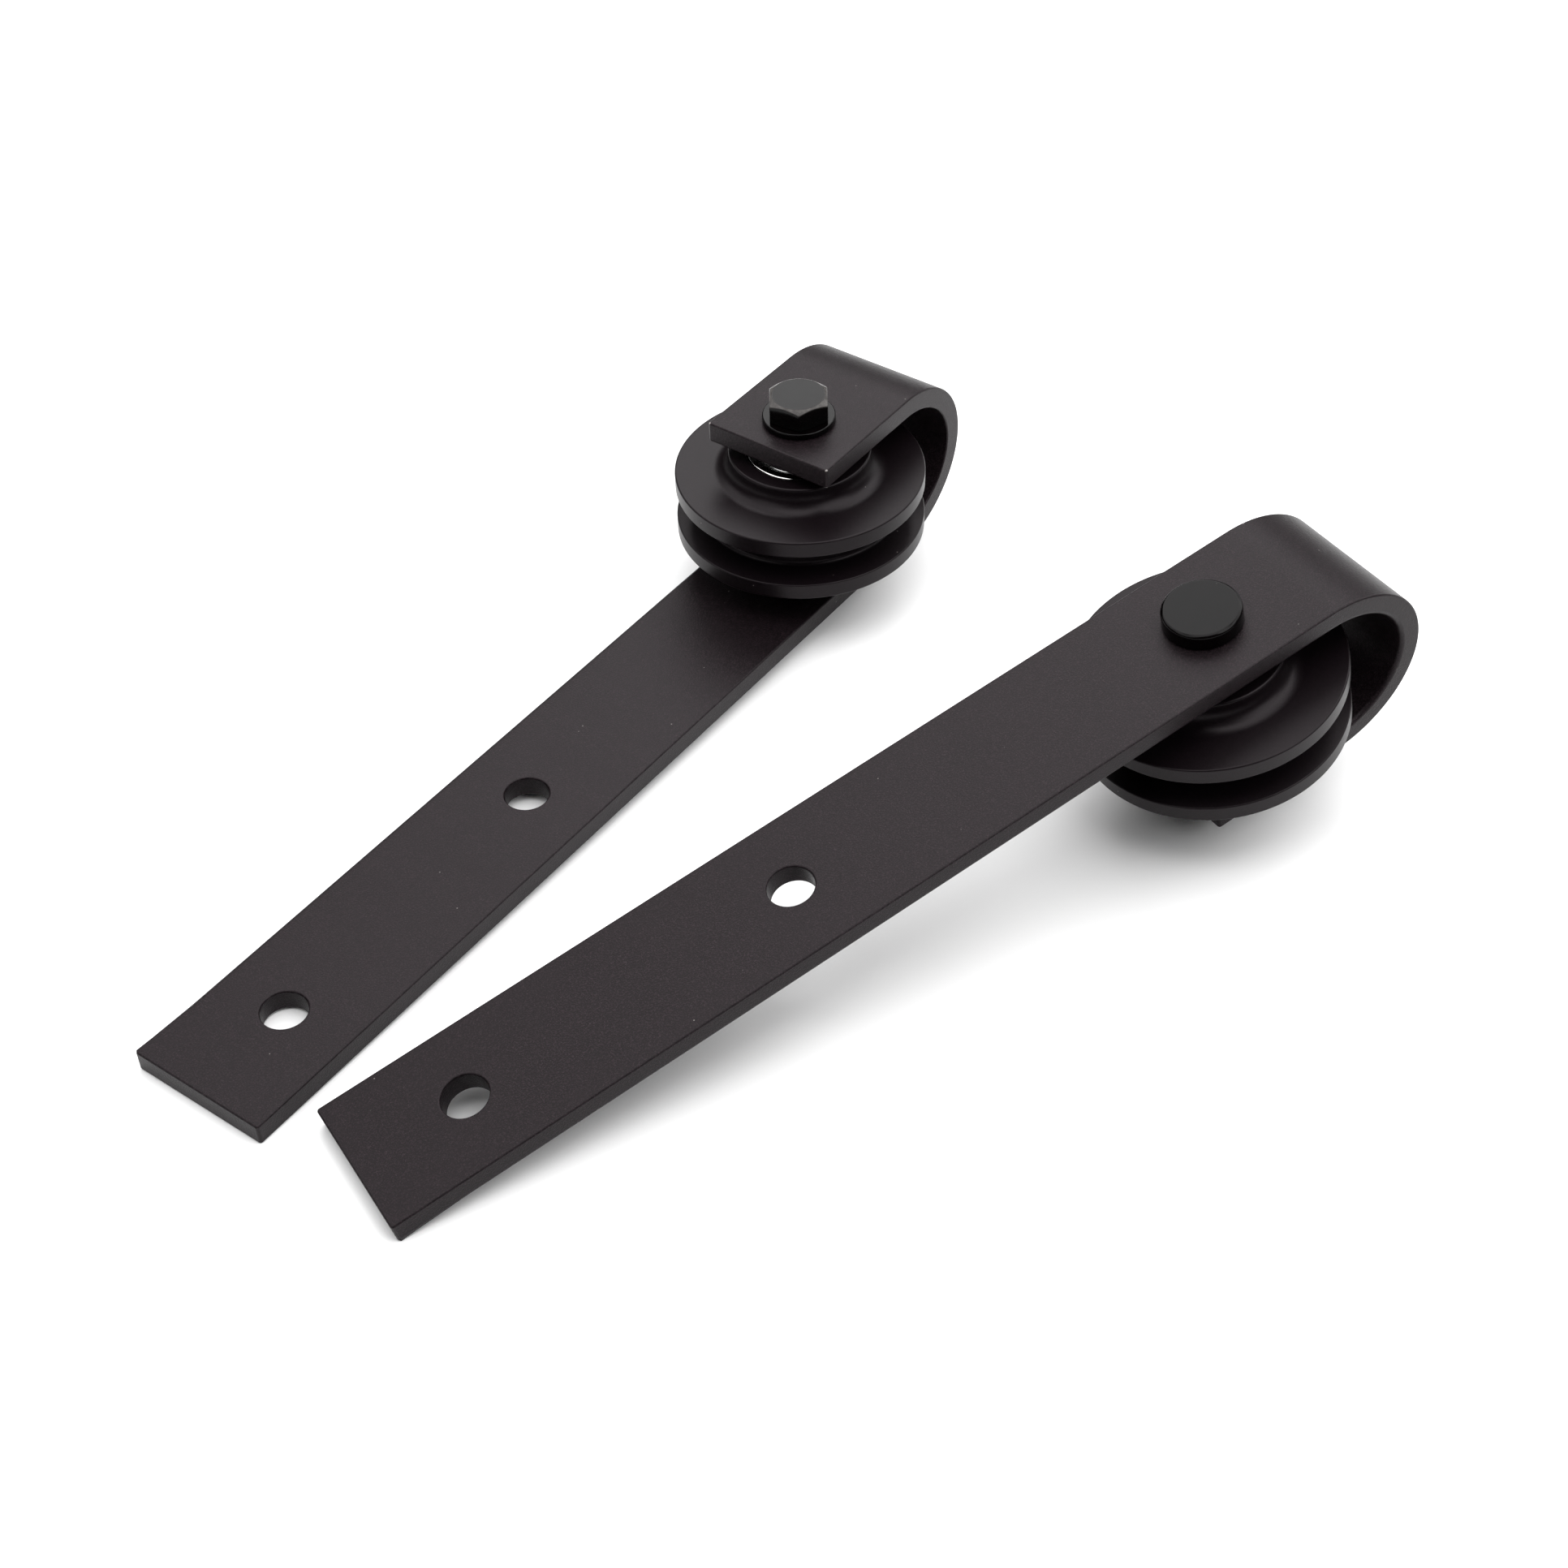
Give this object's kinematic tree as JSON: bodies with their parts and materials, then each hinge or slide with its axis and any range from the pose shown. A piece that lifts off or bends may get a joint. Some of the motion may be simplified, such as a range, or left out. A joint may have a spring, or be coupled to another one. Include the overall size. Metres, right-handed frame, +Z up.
{
  "type": "sliding barn door hanger pair",
  "caption": "Pair of bent flat-bar hangers that carry a sliding door from a flat rail, each with a grooved roller on ball bearings and two door bolt holes.",
  "frame": {"origin": "on the floor, at the middle of the footprint of the two hangers as they lie", "axes": "+Z up from the floor. +X along hanger A from the lower end of its strap to its roller. +Y across the straps, from hanger B towards hanger A."},
  "size_m": [0.2972, 0.2102, 0.0664],
  "materials": {
    "strap_coat": "fine-grained satin charcoal powder coat",
    "wheel_coat": "fine-grained satin charcoal powder coat",
    "bolt_black": "glossy black",
    "bearing_steel": "ground and polished bearing steel",
    "shield_steel": "pressed sheet steel",
    "spacer_steel": "turned steel"
  },
  "bodies": {
    "hanger_a": {"strap_a": "strap_coat", "axle_bolt_a": "bolt_black", "axle_nut_a": "bolt_black", "washer_a": "bolt_black", "bearing_sleeve_a": "spacer_steel", "short_side_spacer_a": "spacer_steel", "long_side_spacer_a": "spacer_steel", "short_side_bearing_inner_ring_a": "bearing_steel", "long_side_bearing_inner_ring_a": "bearing_steel"},
    "wheel_a": {"wheel_a": "wheel_coat", "short_side_bearing_outer_ring_a": "bearing_steel", "short_side_bearing_top_shield_a": "shield_steel", "short_side_bearing_bottom_shield_a": "shield_steel", "long_side_bearing_outer_ring_a": "bearing_steel", "long_side_bearing_top_shield_a": "shield_steel", "long_side_bearing_bottom_shield_a": "shield_steel"},
    "short_side_balls_a": {"short_side_bearing_ball_cage_a": "bearing_steel"},
    "long_side_balls_a": {"long_side_bearing_ball_cage_a": "bearing_steel"},
    "hanger_b": {"strap_b": "strap_coat", "axle_bolt_b": "bolt_black", "axle_nut_b": "bolt_black", "washer_b": "bolt_black", "bearing_sleeve_b": "spacer_steel", "short_side_spacer_b": "spacer_steel", "long_side_spacer_b": "spacer_steel", "short_side_bearing_inner_ring_b": "bearing_steel", "long_side_bearing_inner_ring_b": "bearing_steel"},
    "wheel_b": {"wheel_b": "wheel_coat", "short_side_bearing_outer_ring_b": "bearing_steel", "short_side_bearing_top_shield_b": "shield_steel", "short_side_bearing_bottom_shield_b": "shield_steel", "long_side_bearing_outer_ring_b": "bearing_steel", "long_side_bearing_top_shield_b": "shield_steel", "long_side_bearing_bottom_shield_b": "shield_steel"},
    "short_side_balls_b": {"short_side_bearing_ball_cage_b": "bearing_steel"},
    "long_side_balls_b": {"long_side_bearing_ball_cage_b": "bearing_steel"}
  },
  "joints": [
    {"name": "wheel_a_spin", "type": "hinge", "parent": "hanger_a", "child": "wheel_a", "pos_m": [0.0969, 0.06993, 0.03044], "axis": [-0.0201, 0, 0.9998], "continuous": true},
    {"name": "short_side_balls_a_spin", "type": "hinge", "parent": "hanger_a", "child": "short_side_balls_a", "pos_m": [0.09667, 0.06993, 0.04218], "axis": [-0.0201, 0, 0.9998], "continuous": true},
    {"name": "long_side_balls_a_spin", "type": "hinge", "parent": "hanger_a", "child": "long_side_balls_a", "pos_m": [0.09714, 0.06993, 0.01869], "axis": [-0.0201, 0, 0.9998], "continuous": true},
    {"name": "hanger_b_lift", "type": "slide", "parent": "hanger_a", "child": "hanger_b", "axis": [0, 0, 1], "range_m": [0, 0.12]},
    {"name": "wheel_b_spin", "type": "hinge", "parent": "hanger_b", "child": "wheel_b", "pos_m": [0.08316, -0.06752, 0.03479], "axis": [0.2051, -0.084, -0.9751], "continuous": true},
    {"name": "short_side_balls_b_spin", "type": "hinge", "parent": "hanger_b", "child": "short_side_balls_b", "pos_m": [0.08557, -0.06851, 0.02333], "axis": [0.2051, -0.084, -0.9751], "continuous": true},
    {"name": "long_side_balls_b_spin", "type": "hinge", "parent": "hanger_b", "child": "long_side_balls_b", "pos_m": [0.08075, -0.06653, 0.04625], "axis": [0.2051, -0.084, -0.9751], "continuous": true}
  ],
  "couplings": [
    {"joint": "short_side_balls_a_spin", "follows": "wheel_a_spin", "ratio": 0.619},
    {"joint": "long_side_balls_a_spin", "follows": "wheel_a_spin", "ratio": 0.619},
    {"joint": "short_side_balls_b_spin", "follows": "wheel_b_spin", "ratio": 0.619},
    {"joint": "long_side_balls_b_spin", "follows": "wheel_b_spin", "ratio": 0.619}
  ]
}
